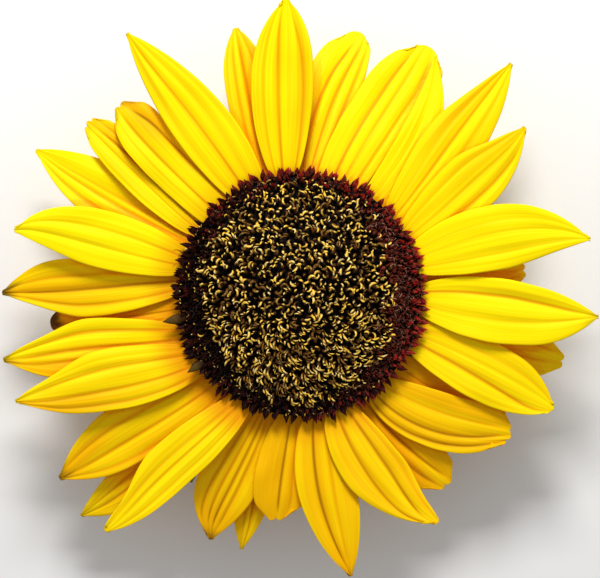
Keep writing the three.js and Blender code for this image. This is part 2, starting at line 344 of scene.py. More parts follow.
@dataclass(frozen=True)
class GreenFinish:
    """Matte green tissue with lengthwise veins, paler on the ribs and dry at the tips."""

    deep: Colour = (0.035, 0.085, 0.012, 1)
    fresh: Colour = (0.14, 0.24, 0.035, 1)
    dry: Colour = (0.22, 0.16, 0.04, 1)
    streaks: float = 18.0
    streak_length: float = 1.4
    mottle_grain: float = 240.0
    pore_grain: float = 2200.0
    paler: Span = (0.35, 0.75)
    drier: Span = (0.8, 1.0)
    relief: float = 0.00025

    def material(self) -> bpy.types.Material:
        """Makes the material of the bracts and the cup.

        Returns:
            The finished material.
        """
        shader = Shader("bract green", Specular_IOR_Level=0.25, Sheen_Weight=0.25)
        across, along = shader.across_and_along()
        chart = shader.streaked(across * self.streaks, along * self.streak_length)
        vein = shader.grain(1.0, 2.0, chart, shader.attribute("seed"))
        mottle = shader.grain(self.mottle_grain, 3.0)
        pores = shader.grain(self.pore_grain, 2.0)
        colour = shader.mix((vein * 0.6 + mottle * 0.5).rise(*self.paler), self.deep, self.fresh)
        colour = shader.mix(along.rise(*self.drier) * 0.6, colour, self.dry)
        return shader.dress(colour, 0.62 + mottle * 0.15, vein + pores * 0.6, self.relief)


@dataclass(frozen=True)
class StalkFinish:
    """Green ribbed skin, and pale pith inside a green ring on the cut face. Its spans are in metres."""

    skin: Colour = (0.12, 0.20, 0.035, 1)
    shadow: Colour = (0.045, 0.09, 0.015, 1)
    pith: Colour = (0.62, 0.62, 0.40, 1)
    ring: Colour = (0.20, 0.30, 0.07, 1)
    mottle_grain: float = 420.0
    pore_grain: float = 1800.0
    brighter: Span = (0.35, 0.7)
    pith_edge: Span = (0.0058, 0.0068)
    cut_edge: Span = (0.0002, 0.0004)
    relief: float = 0.0002

    def material(self, centre: Vector) -> bpy.types.Material:
        """Makes the material of the stub.

        Args:
            centre: the middle of the cut face, in metres.

        Returns:
            The finished material.
        """
        shader = Shader("stalk skin and pith", Specular_IOR_Level=0.25, Sheen_Weight=0.2)
        offset = shader.node("ShaderNodeVectorMath", {"operation": "SUBTRACT"},
                             {0: shader.place(), 1: (centre.x, centre.y, 0.0)}, 0)
        east, north, height = shader.parts(offset)
        radius = (east * east + north * north) ** 0.5
        mottle = shader.grain(self.mottle_grain, 3.0)
        pores = shader.grain(self.pore_grain, 2.0)
        skin = shader.mix(mottle.rise(*self.brighter), self.shadow, self.skin)
        cut = shader.mix(radius.rise(*self.pith_edge), self.pith, self.ring)
        colour = shader.mix(height.rise(*self.cut_edge), cut, skin)
        return shader.dress(colour, 0.6 + mottle * 0.15, pores + mottle, self.relief)


class Tip(Enum):
    """How a blade closes: two powers, and the share of its width that its end edge keeps."""

    POINTED = (1.8, 0.85, 0.05)
    ROUND = (2.1, 0.72, 0.14)
    BLUNT = (3.0, 0.56, 0.5)
    ACUMINATE = (1.05, 1.3, 0.02)

    @property
    def end(self) -> float:
        """Returns the share of its width that the end edge keeps."""
        return self.value[2]

    def closing(self, share: float) -> float:
        """Returns the share of the width left at a share of the way from the widest place to the tip."""
        first, second, _ = self.value
        return max(0.0, 1 - share ** first) ** second


@dataclass(frozen=True)
class Layers:
    """The family of surfaces that petals and bracts lie on, one for each layer number."""

    disc_radius: float = 33.4
    root_height: float = 24.0
    step: float = 1.0
    spread: float = 0.06
    level: float = 2.5
    slope: float = 0.1
    arch: float = 0.0024
    free_radius: float = 32.0

    def height(self, radius: float, layer: float) -> float:
        """Finds how high a layer's surface lies.

        Args:
            radius: the distance from the axis.
            layer: the layer's number.

        Returns:
            The height in millimetres.
        """
        free = max(0.0, radius - self.free_radius)
        slope = self.slope + (layer - self.level) * self.spread
        return self.root_height + layer * self.step + free * slope - self.arch * free * free


LAYERS = Layers()


def midline(s: float, rim: float, middle: float, tip: float) -> float:
    """Returns the azimuth of a blade's midline, a curve through its azimuths at s of 0, 0.5 and 1."""
    t = max(0.0, s)
    return rim * (1 - t) * (1 - 2 * t) + middle * 4 * t * (1 - t) + tip * t * (2 * t - 1)


# How fast a blade narrows under the disc, how it flares from the rim, and where its end edge begins
ROOT_TAPER = 1.5
FLARE_POWER = 0.75
END_EDGE_START = 0.75


def width_share(s: float, rim_share: float, widest: float, tip: Tip) -> float:
    """Finds how much of its full width a blade has.

    Args:
        s: place along, 0 at the disc's rim and 1 at the tip.
        rim_share: the share at the rim.
        widest: where along it is widest.
        tip: how it closes.

    Returns:
        The share of the full width.
    """
    if s < 0:
        return rim_share * (1 + ROOT_TAPER * s)
    if s < widest:
        return rim_share + (1 - rim_share) * math.sin(math.pi / 2 * s / widest) ** FLARE_POWER
    closing = tip.closing((s - widest) / (1 - widest))
    return math.hypot(closing, tip.end * smoothstep(END_EDGE_START, 1.0, s))


def thicken(piece: bpy.types.Object, thickness: float) -> None:
    """Gives a sheet its thickness, below its upper surface.

    Args:
        piece: the sheet.
        thickness: in millimetres.
    """
    body = piece.modifiers.new("body", "SOLIDIFY")
    body.thickness = thickness * MM
    body.offset = -1.0


def value_layer(bm: bmesh.types.BMesh, name: str) -> bmesh.types.BMLayerItem:
    """Returns the vertex values of that name, made where the shape has none yet."""
    return bm.verts.layers.float.get(name) or bm.verts.layers.float.new(name)


def turned(outline: Outline, steps: int) -> bmesh.types.BMesh:
    """Turns an outline round the axis into a closed shape.

    Args:
        outline: radius and height of its corners, in millimetres, from the axis round to the axis.
        steps: the number of steps of the turn.

    Returns:
        The shape.
    """
    bm = bmesh.new()
    chain = [bm.verts.new((radius, 0, height)) for radius, height in outline]
    edges = [bm.edges.new(pair) for pair in zip(chain, chain[1:])]
    bmesh.ops.spin(bm, geom=chain + edges, cent=(0, 0, 0), axis=(0, 0, 1), angle=2 * math.pi,
                   steps=steps, use_merge=True)
    bmesh.ops.remove_doubles(bm, verts=bm.verts, dist=0.001)
    bmesh.ops.recalc_face_normals(bm, faces=bm.faces)
    return bm


@dataclass(frozen=True)
class Fold:
    """A lengthwise fold: its place across near the tip and near the root, and its depth."""

    tip: float
    root: float
    depth: float = 1.0
    half_width: float = 0.06

    def place(self, s: float) -> float:
        """Returns where the fold's bottom lies across the petal."""
        return self.root + (self.tip - self.root) * clamp(s) ** 4

    def fold_shade(self, u: float, s: float) -> float:
        """Returns how deep in the fold a point lies, from 0 to the fold's depth, for the painted shade along
        the fold.
        """
        return self.depth * math.exp(-((u - self.place(s)) / self.half_width) ** 2)


@dataclass(frozen=True)
class PetalForm:
    """What all ray petals share, in millimetres, in shares of a petal, or as powers."""

    half_thickness: float = 0.325
    end_rounding: float = 0.42
    end_roundness: float = 2.6
    end_power: int = 12
    tooth_length: float = 1.0
    tooth_power: float = 0.7
    raggedness: float = 0.018
    pinch: Span = (0.5, 0.85)
    narrowest: float = 0.35
    lean_power: int = 3
    hook_power: int = 8
    curl_start: float = 0.5
    arch_height: float = 0.6
    veins: tuple[Pair, ...] = ((0.040, 17.0), (0.028, 31.0))
    dent: float = 0.5
    ripple: float = 0.25
    edge_fold: float = 0.15
    narrow_arch: float = 0.5


FORM = PetalForm()


@dataclass
class Petal:
    """One ray petal: azimuths at the rim, halfway and at the tip, and its form in millimetres."""

    rim: float
    middle: float
    tip: float
    reach: float
    width: float
    layer: int
    widest: float
    form: Tip
    margins: float
    curl: float
    folds: tuple[Fold, ...]
    lean: float = 0.0
    hook: float = 0.0
    teeth: int = 1
    base: float = 0.5
    pinch_left: float = 0.0
    pinch_right: float = 0.0

    def point(self, u: float, s: float, phase: float) -> Vector:
        """Finds a point of the upper surface.

        Args:
            u: place across, from -1 on the right to 1 on the left, looking outward.
            s: place along, below 0 under the disc, 0 at its rim and 1 at the tip.
            phase: a number that differs from petal to petal.

        Returns:
            The point in millimetres.
        """
        out = max(0.0, s)
        rim = LAYERS.disc_radius
        radius = rim + s * (self.reach - rim) + self.lean * u * out ** FORM.lean_power
        radius -= self.end_drop(u) * out ** FORM.end_power
        ragged = 1 + FORM.raggedness * noise.noise(Vector((phase * 3.1, out * 7.0, math.copysign(5.0, u))))
        pinch = self.pinch_left if u > 0 else self.pinch_right
        ragged -= pinch * smoothstep(*FORM.pinch, s) * abs(u)
        share = width_share(s, self.base, self.widest, self.form)
        across = max(FORM.narrowest, self.width * share * ragged)
        bow = midline(s, self.rim, self.middle, self.tip) + self.hook * out ** FORM.hook_power
        height = LAYERS.height(radius, self.layer) + self.relief(u, s, phase) + FORM.half_thickness
        height += self.curl * max(0.0, (s - FORM.curl_start) / (1 - FORM.curl_start)) ** 2
        return polar(radius, math.radians(bow) + u * across / 2 / radius, height)

    def end_drop(self, u: float) -> float:
        """Finds how far the end edge, with its teeth, lies back from the tip.

        Args:
            u: place across, from -1 on the right to 1 on the left.

        Returns:
            The distance in millimetres.
        """
        drop = self.form.end * self.width * FORM.end_rounding * abs(u) ** FORM.end_roundness
        if self.teeth > 1:
            notch = 1 - abs(math.sin(math.pi * self.teeth * (u + 1) / 2)) ** FORM.tooth_power
            drop += FORM.tooth_length * notch
        return drop

    def relief(self, u: float, s: float, phase: float) -> float:
        """Adds up the arches between folds, the veins, the dents and the margins.

        Args:
            u: place across, from -1 on the right to 1 on the left.
            s: place along, 0 at the disc's rim and 1 at the tip.
            phase: a number that differs from petal to petal.

        Returns:
            Their height in millimetres.
        """
        swell = math.sin(math.pi * clamp(s, 0.0, 0.96)) ** 0.6
        room = 0.35 + 0.85 * smoothstep(0.0, 0.6, s)
        veins = sum(high * math.cos(rate * u + k * phase) for k, (high, rate) in enumerate(FORM.veins, 1))
        margin = self.margins * u * u - 0.15
        ripple = FORM.ripple * abs(u) ** 3 * math.sin(9.0 * s + phase * 2.3 + math.copysign(1.1, u))
        dent = FORM.dent * noise.noise(Vector((phase * 1.7, s * 3.2, u * 1.3)))
        return swell * (room * (FORM.arch_height * self.arches(u, s) + dent) + veins + margin + ripple)

    def arches(self, u: float, s: float) -> float:
        """Finds the arches that span from fold to fold.

        Args:
            u: place across, from -1 on the right to 1 on the left.
            s: place along, 0 at the disc's rim and 1 at the tip.

        Returns:
            Their height as a share, below 0 in the folds.
        """
        lines = sorted((fold.place(s), fold.depth) for fold in self.folds)
        lines = [(-1.0, FORM.edge_fold), *lines, (1.0, FORM.edge_fold)]
        for (left, left_depth), (right, right_depth) in zip(lines, lines[1:]):
            if u <= right or right == 1.0:
                t = clamp((u - left) / max(0.05, right - left))
                bottom = left_depth * (1 - t) + right_depth * t
                rise = 4 * t * (1 - t) * min(1.0, (right - left) / FORM.narrow_arch)
                return rise * (0.35 + 0.9 * (left_depth + right_depth) / 2) - bottom
        return 0.0

    def fold_shade(self, u: float, s: float) -> float:
        """Returns how deep in one of its folds a point lies, for the painted shade in the folds."""
        fading = smoothstep(1.0, 0.8, s)
        return fading * max((fold.fold_shade(u, s) for fold in self.folds), default=0.0)


# Each petal's azimuths at the rim, halfway and at the tip, its tip's distance from the axis, its width and
# layer, where it is widest, its end, how its margins rise, how its tip curls, and its folds
PETALS = [
    Petal(97.2, 94.9, 92.7, 79.1, 16.8, 4, 0.55, Tip.ROUND, 0.25, 0.8,
          (Fold(0.3, 0.1), Fold(0.55, 0.6, 0.5), Fold(-0.35, -0.7, 0.8)), base=0.45),
    Petal(106.0, 104.0, 103.6, 74.2, 12.8, 2, 0.5, Tip.ROUND, 0.3, -0.6,
          (Fold(0.05, 0.08, 1.1), Fold(0.55, 0.5, 0.5), Fold(-0.5, -0.5, 0.5)), pinch_left=-0.12),
    Petal(117.0, 120.7, 123.4, 83.7, 16.1, 4, 0.36, Tip.POINTED, -0.2, 1.5,
          (Fold(0.35, 0.1, 0.9), Fold(-0.3, -0.35, 0.3), Fold(0.75, 0.7, 0.3)), base=0.68),
    Petal(134.5, 135.0, 133.7, 70.9, 12.4, 3, 0.6, Tip.BLUNT, -0.2, -1.6,
          (Fold(0.22, 0.1, 0.8), Fold(-0.2, -0.75, 1.1)), teeth=2, base=0.85, pinch_right=-0.25),
    Petal(146.3, 142.4, 140.9, 74.3, 11.8, 2, 0.5, Tip.BLUNT, 0.2, -1.4,
          (Fold(0.28, 0.2, 0.5), Fold(-0.05, -0.2, 1.1), Fold(-0.5, -0.55, 0.6)), teeth=3),
    Petal(153.2, 152.4, 151.2, 81.9, 17.2, 1, 0.45, Tip.POINTED, 0.3, -0.8,
          (Fold(0.68, 0.55, 0.7), Fold(0.27, 0.15, 0.8), Fold(-0.05, -0.1, 0.6))),
    Petal(164.2, 164.2, 165.0, 78.3, 15.4, 4, 0.5, Tip.ROUND, -0.2, 0.6,
          (Fold(0.3, 0.26, 0.5), Fold(-0.3, -0.32, 0.7)), hook=2.0, pinch_left=0.08),
    Petal(173.3, 178.0, 178.4, 80.6, 16.0, 2, 0.5, Tip.POINTED, 0.3, -1.0,
          (Fold(0.25, 0.03, 1.1), Fold(0.55, 0.6, 0.5), Fold(-0.4, -0.45, 0.4)),
          hook=1.2, pinch_left=0.2, pinch_right=-0.36),
    Petal(186.0, 186.5, 186.5, 68.2, 13.5, 1, 0.5, Tip.BLUNT, 0.2, -1.8,
          (Fold(0.1, 0.1, 0.7),)),
    Petal(200.5, 194.2, 192.3, 81.5, 15.8, 3, 0.5, Tip.POINTED, 0.3, 0.9,
          (Fold(0.35, 0.0, 1.0), Fold(-0.25, -0.55, 0.8), Fold(0.8, 0.35, 0.6)),
          pinch_right=0.3, pinch_left=-0.28),
    Petal(211.5, 203.8, 200.4, 81.0, 17.2, 4, 0.45, Tip.POINTED, -0.2, 1.4,
          (Fold(0.9, 0.75, 0.7), Fold(0.65, 0.3, 0.7), Fold(-0.05, -0.4, 0.8)),
          pinch_right=0.34, pinch_left=-0.16),
    Petal(224.5, 219.0, 217.4, 81.8, 17.0, 2, 0.5, Tip.POINTED, 0.25, -0.4,
          (Fold(0.38, 0.2, 0.8), Fold(0.62, 0.8, 0.6), Fold(-0.5, -0.4, 0.5)), pinch_left=-0.22),
    Petal(231.0, 229.0, 225.2, 84.7, 12.4, 1, 0.6, Tip.POINTED, 0.2, -1.2,
          (Fold(0.35, 0.1, 0.7), Fold(-0.2, -0.3, 0.6)), pinch_left=-0.35),
    Petal(240.5, 232.9, 231.6, 81.7, 13.5, 4, 0.45, Tip.ROUND, -0.2, 1.0,
          (Fold(0.3, 0.05, 0.6), Fold(0.7, 0.6, 0.4), Fold(-0.2, -0.3, 0.5)),
          hook=-1.2, pinch_right=0.45, pinch_left=-0.08),
    Petal(252.5, 249.3, 248.0, 70.6, 16.4, 1, 0.55, Tip.POINTED, 0.3, -0.9,
          (Fold(0.57, 0.35, 0.7), Fold(0.08, 0.12, 1.0), Fold(-0.35, -0.15, 0.8), Fold(-0.9, -0.45, 0.7)),
          hook=2.0, pinch_left=-0.08, pinch_right=-0.08),
    Petal(256.0, 256.4, 257.0, 71.2, 12.2, 0, 0.4, Tip.POINTED, 0.1, -1.5,
          (Fold(0.45, 0.1, 0.8), Fold(-0.2, -0.2, 0.5))),
    Petal(265.5, 264.0, 263.8, 61.4, 14.0, 2, 0.6, Tip.BLUNT, -0.2, -1.2,
          (Fold(0.07, 0.02, 1.0), Fold(0.55, 0.45, 0.5)), lean=-0.5, teeth=2, pinch_left=-0.18),
    Petal(278.5, 278.2, 280.3, 76.7, 16.4, 3, 0.4, Tip.POINTED, 0.3, 0.5,
          (Fold(-0.12, -0.32, 1.3), Fold(0.25, 0.2, 0.5)), pinch_left=-0.1),
    Petal(289.0, 293.2, 300.2, 71.0, 16.9, 4, 0.5, Tip.ROUND, -0.2, 1.2,
          (Fold(-0.25, 0.45, 1.1), Fold(-0.85, -0.2, 1.0), Fold(0.6, 0.8, 0.5)),
          hook=0.9, pinch_left=0.2, pinch_right=0.1),
    Petal(300.5, 304.0, 307.4, 65.6, 15.2, 1, 0.6, Tip.BLUNT, 0.2, -1.5,
          (Fold(0.45, 0.1, 0.9), Fold(-0.2, -0.35, 0.9)), teeth=2),
    Petal(310.5, 318.0, 327.0, 68.6, 16.7, 2, 0.5, Tip.BLUNT, 0.3, -0.5,
          (Fold(0.1, -0.42, 1.2), Fold(-0.35, -0.8, 1.1), Fold(0.4, 0.3, 0.4)),
          lean=-1.0, hook=-1.0, teeth=3),
    Petal(340.0, 337.6, 335.8, 74.6, 16.4, 3, 0.5, Tip.ROUND, 0.25, 0.6,
          (Fold(-0.85, -0.25, 1.1), Fold(0.25, 0.15, 0.4), Fold(0.6, 0.5, 0.3)), base=0.55, pinch_left=-0.12),
    Petal(347.5, 346.0, 345.8, 74.0, 13.6, 1, 0.5, Tip.BLUNT, 0.2, -1.3,
          (Fold(0.5, 0.4, 0.7), Fold(-0.2, -0.2, 0.5)), teeth=2),
    Petal(357.8, 355.3, 355.8, 79.9, 17.5, 4, 0.45, Tip.POINTED, 0.3, 1.0,
          (Fold(0.25, 0.47, 1.1), Fold(-0.05, -0.3, 0.5)), pinch_left=-0.08, pinch_right=-0.2),
    Petal(6.5, 6.2, 6.2, 61.7, 13.0, 1, 0.5, Tip.BLUNT, 0.2, -1.5,
          (Fold(0.0, 0.05, 0.9), Fold(-0.3, -0.35, 0.8)), teeth=2),
    Petal(17.2, 16.4, 11.9, 78.5, 17.6, 5, 0.48, Tip.POINTED, -0.3, 0.8,
          (Fold(0.2, 0.12, 0.4), Fold(-0.45, -0.5, 0.4), Fold(0.6, 0.5, 0.25)),
          hook=-1.0, pinch_left=-0.1, pinch_right=0.05),
    Petal(28.2, 33.0, 35.8, 75.0, 16.4, 4, 0.5, Tip.POINTED, 0.25, 0.4,
          (Fold(-0.75, -0.48, 0.9), Fold(-0.1, 0.0, 0.5), Fold(0.6, 0.6, 0.3)),
          hook=0.9, pinch_left=0.2, pinch_right=-0.08),
    Petal(39.0, 44.7, 47.0, 84.2, 16.4, 3, 0.45, Tip.POINTED, 0.2, 0.9,
          (Fold(0.1, 0.1, 0.8), Fold(0.5, 0.5, 0.35), Fold(-0.5, -0.4, 0.4)),
          hook=0.6, pinch_left=0.2, pinch_right=-0.02),
    Petal(70.5, 66.0, 62.5, 75.9, 17.2, 1, 0.5, Tip.BLUNT, -0.2, -0.4,
          (Fold(0.45, 0.3, 1.1), Fold(0.12, -0.1, 0.7), Fold(-0.3, -0.6, 0.6)),
          base=0.75, pinch_left=-0.12, pinch_right=-0.2),
    Petal(86.0, 81.4, 77.6, 73.5, 14.8, 0, 0.55, Tip.BLUNT, 0.3, -0.9,
          (Fold(-0.25, 0.4, 1.1), Fold(-0.6, -0.12, 0.9), Fold(-0.85, -0.6, 0.7)),
          pinch_left=-0.22, pinch_right=0.06),
    Petal(52.0, 53.2, 60.4, 74.2, 10.4, 2, 0.45, Tip.POINTED, 0.1, -2.6,
          (Fold(0.2, 0.2, 0.3),), base=0.7),
    Petal(324.0, 325.0, 326.0, 60.5, 12.4, 0, 0.5, Tip.ROUND, 0.1, -1.0,
          (Fold(0.0, 0.0, 0.7),), base=0.6),
]

# How brown the tip of a petal is, by its number: dried tips, and on petals 4 and 9 painted shade
BROWN_TIPS_AND_SHADE = {4: 0.45, 5: 0.3, 7: 0.3, 8: 0.7, 9: 1.0, 10: 0.5, 11: 0.35, 12: 0.6, 13: 0.4,
                 14: 0.25, 15: 0.6, 16: 0.3, 18: 0.4, 24: 0.35}

# How golden a petal is all over, by its number, where it isn't of the usual yellow: partly its own tone,
# partly painted shade, strongest on the petals at the bottom, away from the light
USUAL_TONE_AND_SHADE = 0.3
TONE_AND_SHADE = {2: 0.45, 6: 0.1, 7: 0.0, 8: 0.4, 9: 0.9, 11: 0.35, 12: 0.5, 13: 0.55, 14: 0.4, 15: 0.65, 16: 0.7,
          17: 1.0, 18: 0.72, 19: 0.64, 20: 0.85, 21: 0.75, 22: 0.36, 23: 0.5, 24: 0.15, 25: 0.0, 26: 0.1,
          29: 0.2, 31: 0.2, 32: 0.95}


@dataclass(frozen=True)
class ShadePatch:
    """A soft golden zone of painted shade on a petal, where it turns away from the light: its middle and half
    sizes across and along, and its strength.
    """

    petal: int
    u: float
    s: float
    wide: float
    long: float
    strength: float

    def share(self, number: int, u: float, s: float) -> float:
        """Finds how much golden painted shade the zone lays on a point.

        Args:
            number: the number of the point's petal.
            u: place across, from -1 on the right to 1 on the left.
            s: place along, 0 at the disc's rim and 1 at the tip.

        Returns:
            Its share of gold, 0 on other petals.
        """
        if number != self.petal:
            return 0.0
        return self.strength * math.exp(-((u - self.u) / self.wide) ** 2 - ((s - self.s) / self.long) ** 2)


SHADE_PATCHES = (
    ShadePatch(2, -0.6, 0.55, 0.5, 0.5, 0.55), ShadePatch(4, -0.6, 0.85, 0.5, 0.28, 0.9),
    ShadePatch(5, -0.5, 0.6, 0.4, 0.4, 0.6), ShadePatch(6, 0.75, 0.5, 0.25, 0.4, 0.4),
    ShadePatch(8, 0.0, 0.8, 1.0, 0.4, 0.45), ShadePatch(10, 0.7, 0.75, 0.4, 0.3, 0.6),
    ShadePatch(11, 0.65, 0.8, 0.45, 0.3, 0.6), ShadePatch(12, -0.35, 0.82, 0.35, 0.16, 0.8),
    ShadePatch(12, 0.2, 0.95, 0.9, 0.1, 0.5), ShadePatch(15, 0.0, 0.92, 0.9, 0.2, 0.7),
    ShadePatch(18, 0.0, 0.95, 0.9, 0.12, 0.6), ShadePatch(28, 0.6, 0.75, 0.4, 0.35, 0.3),
    ShadePatch(27, 0.5, 0.8, 0.5, 0.3, 0.3), ShadePatch(1, -0.6, 0.5, 0.4, 0.4, 0.3),
)


@dataclass
class Bench:
    """Where a piece shaped in the head's millimetres becomes an object of the part."""

    axis: Vector

    def piece(self, bm: bmesh.types.BMesh, name: str, material: bpy.types.Material, node: str,
              slot: str) -> bpy.types.Object:
        """Makes a finished piece of a shape.

        Args:
            bm: the shape in millimetres, which is used up.
            name: the piece's name.
            material: its finish.
            node: the CAD node that it replaces.
            slot: the record's material slot; not used.

        Returns:
            The piece, at the origin and riding on the root body.
        """
        matrix = Matrix.Translation(self.axis) @ Matrix.Scale(MM, 4)
        bmesh.ops.transform(bm, matrix=matrix, verts=bm.verts)
        mesh = bpy.data.meshes.new(name)
        bm.to_mesh(mesh)
        bm.free()
        mesh.shade_smooth()
        mesh.materials.append(material)
        made = bpy.data.objects.new(name, mesh)
        bpy.context.scene.collection.objects.link(made)
        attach(made, "root")
        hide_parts(node)
        LOG.info("%s: %d faces", name, len(mesh.polygons))
        return made


@dataclass(frozen=True)
class Shoot:
    """A tapering shoot, in millimetres, that rises from its root, bends over and sways to one side."""

    length: float
    bend: float
    girths: Girths
    start: float = 0.0
    sides: int = 5
    flat: float = 1.0
    turn: float = 0.0
    root: Triple = (0.0, 0.0, 0.0)
    sway: float = 0.0

    def heading(self, share: float) -> Matrix:
        """Returns the turn from straight up to the way the shoot points at a share of its length."""
        tilt = Matrix.Rotation(self.start + self.bend * share, 3, "Y")
        return Matrix.Rotation(self.sway * share, 3, "Z") @ tilt

    def spine(self) -> list[tuple[Vector, Matrix]]:
        """Follows the shoot from its root to its tip, before its turn.

        Returns:
            Its points, each with its heading.
        """
        steps = len(self.girths) - 1
        place = Vector((0, 0, 0))
        found = [(place.copy(), self.heading(0.0))]
        for k in range(steps):
            place = place + self.heading((k + 0.5) / steps) @ Vector((0, 0, self.length / steps))
            found.append((place.copy(), self.heading((k + 1) / steps)))
        return found

    def grow(self, bm: bmesh.types.BMesh) -> None:
        """Adds the shoot as a closed shape, by extruding its end face along the spine.

        Args:
            bm: the shape to add it to. Its "along" value runs from 0 at the root to 1 at the tip.
        """
        along = value_layer(bm, "along")
        setting = Matrix.Translation(Vector(self.root)) @ Matrix.Rotation(self.turn, 4, "Z")
        ring = list(bmesh.ops.create_circle(bm, cap_ends=True, segments=self.sides, radius=1.0)["verts"])
        section = [vertex.co.copy() for vertex in ring]
        for k, ((point, heading), girth) in enumerate(zip(self.spine(), self.girths)):
            if k:
                face = next(f for f in ring[0].link_faces if all(v in ring for v in f.verts))
                fresh = bmesh.ops.extrude_face_region(bm, geom=[face])["geom"]
                if k > 1:
                    bmesh.ops.delete(bm, geom=[face], context="FACES_ONLY")
                ends = [item for item in fresh if isinstance(item, bmesh.types.BMVert)]
                ring = [min(ends, key=lambda v, old=old: (v.co - old.co).length) for old in ring]
            for vertex, corner in zip(ring, section):
                offset = heading @ Vector((corner.x * girth * self.flat, corner.y * girth, 0))
                vertex.co = setting @ (point + offset)
                vertex[along] = k / (len(self.girths) - 1)


def stamp(name: str, *shoots: Shoot) -> bpy.types.Mesh:
    """Makes one mesh of shoots.

    Args:
        name: the mesh's name.
        shoots: the shoots.

    Returns:
        The mesh in millimetres, with its root at the origin and its tip up.
    """
    bm = bmesh.new()
    for shoot in shoots:
        shoot.grow(bm)
    bmesh.ops.recalc_face_normals(bm, faces=bm.faces)
    made = bpy.data.meshes.new(name)
    bm.to_mesh(made)
    bm.free()
    return made


@dataclass(frozen=True)
class Setting:
    """Where and how a stamp is set: its root, the way its tip points, its turn, size and tint."""

    root: Vector
    direction: Vector
    spin: float = 0.0
    size: float = 1.0
    tint: float = 0.5

    def raised(self, height: float, **changes: float) -> Setting:
        """Returns this setting moved on by a number of its own sizes, with other changes."""
        return replace(self, root=self.root + self.direction * height * self.size, **changes)

    def press(self, bm: bmesh.types.BMesh, mesh: bpy.types.Mesh) -> None:
        """Adds a copy of a stamp.

        Args:
            bm: the shape that gets the copy.
            mesh: the stamp. At a spin of 0 its +X points away from the axis, or down.
        """
        tint = value_layer(bm, "tint")
        before = len(bm.verts)
        bm.from_mesh(mesh)
        bm.verts.ensure_lookup_table()
        turn = self.direction.to_track_quat("Z", "Y").to_matrix().to_4x4()
        turn = turn @ Matrix.Rotation(self.spin - math.pi / 2, 4, "Z")
        matrix = Matrix.Translation(self.root) @ turn @ Matrix.Scale(self.size, 4)
        fresh = bm.verts[before:]
        bmesh.ops.transform(bm, matrix=matrix, verts=fresh)
        for vertex in fresh:
            vertex[tint] = self.tint


